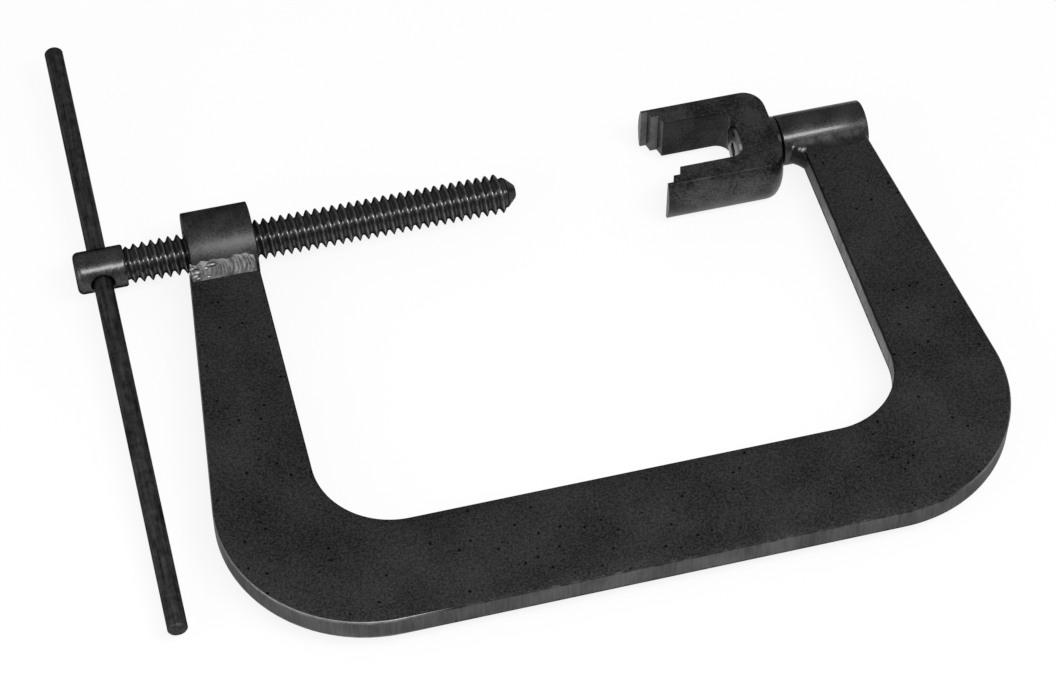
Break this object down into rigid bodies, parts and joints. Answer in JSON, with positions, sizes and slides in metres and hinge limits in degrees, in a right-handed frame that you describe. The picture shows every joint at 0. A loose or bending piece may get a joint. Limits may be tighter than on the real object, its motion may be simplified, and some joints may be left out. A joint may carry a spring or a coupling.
{
  "type": "valve spring compressor",
  "caption": "C-frame valve spring compressor: a screw with a sliding T-bar pushes its nose at the valve head while a swivelling stepped fork takes the spring collar.",
  "frame": {"origin": "on the screw axis, at the inner shoulder of the fork where the spring collar seats", "axes": "+X along the screw axis from the T-bar towards the fork and pivot bar, +Y from the spine towards the open end of the frame, +Z square to the plate, towards the viewer of the picture"},
  "size_m": [0.3505, 0.324, 0.0333],
  "materials": {
    "black_plate": "black oxide on cut plate",
    "black_turned": "black oxide on turned bar",
    "black_thread": "oiled black oxide on a cut thread",
    "black_bar": "black oxide on drawn rod",
    "black_fork": "black oxide on milled bar",
    "weld_bead": "bare rippled weld metal under thin oxide",
    "plain_screw": "plain oiled steel"
  },
  "bodies": {
    "frame": {"c_frame": "black_plate", "screw_boss": "black_turned", "boss_weld_front": "weld_bead", "boss_weld_rear": "weld_bead", "pivot_bar": "black_turned", "pivot_weld_front": "weld_bead", "pivot_weld_rear": "weld_bead", "pivot_weld_inner": "weld_bead", "pivot_screw": "plain_screw"},
    "nose": {"screw_nose": "black_thread"},
    "screw": {"forcing_screw": "black_thread"},
    "bar": {"t_bar": "black_bar"},
    "fork": {"fork": "black_fork"}
  },
  "joints": [
    {"name": "screw_feed", "type": "slide", "parent": "frame", "child": "nose", "axis": [1, 0, 0], "range_m": [-0.102, 0.015]},
    {"name": "screw_turn", "type": "hinge", "parent": "nose", "child": "screw", "pos_m": [-0.16, 0, 0], "axis": [1, 0, 0], "range_deg": [-10080, 1440]},
    {"name": "bar_slide", "type": "slide", "parent": "screw", "child": "bar", "axis": [0, 0.9994, 0.0349], "range_m": [-0.112, 0.166]},
    {"name": "fork_swivel", "type": "hinge", "parent": "frame", "child": "fork", "pos_m": [0.036, 0, 0], "axis": [1, 0, 0], "continuous": true}
  ],
  "couplings": [
    {"joint": "screw_feed", "follows": "screw_turn", "m_per_rad": 0.00057757}
  ]
}
